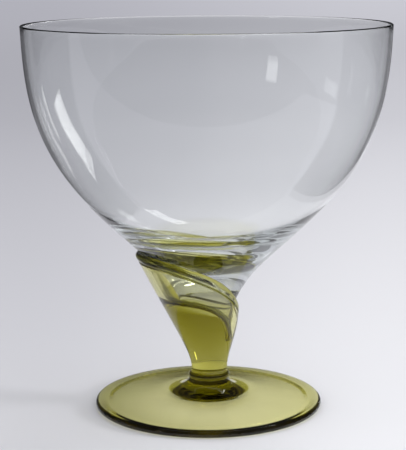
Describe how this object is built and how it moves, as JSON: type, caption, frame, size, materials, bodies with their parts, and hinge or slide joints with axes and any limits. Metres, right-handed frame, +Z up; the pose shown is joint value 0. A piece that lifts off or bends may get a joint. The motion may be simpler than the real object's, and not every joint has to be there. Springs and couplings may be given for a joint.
{
  "type": "footed glass bowl",
  "caption": "Clear rounded glass bowl on a short olive stem whose slanting leaf wraps the bowl's solid tail, standing on an olive disc foot.",
  "frame": {"origin": "centre of the circle on which the foot stands, at table height", "axes": "+Z up along the bowl's axis, -Y towards the viewer, +X to the viewer's right, away from the leaf's high side"},
  "size_m": [0.2358, 0.2358, 0.25],
  "materials": {
    "clear_glass": "fire-polished clear",
    "olive_glass": "fire-polished transparent olive green"
  },
  "bodies": {
    "root": {"bowl": "clear_glass", "leaf": "olive_glass", "stem": "olive_glass", "collar": "olive_glass", "foot": "olive_glass"}
  },
  "joints": []
}
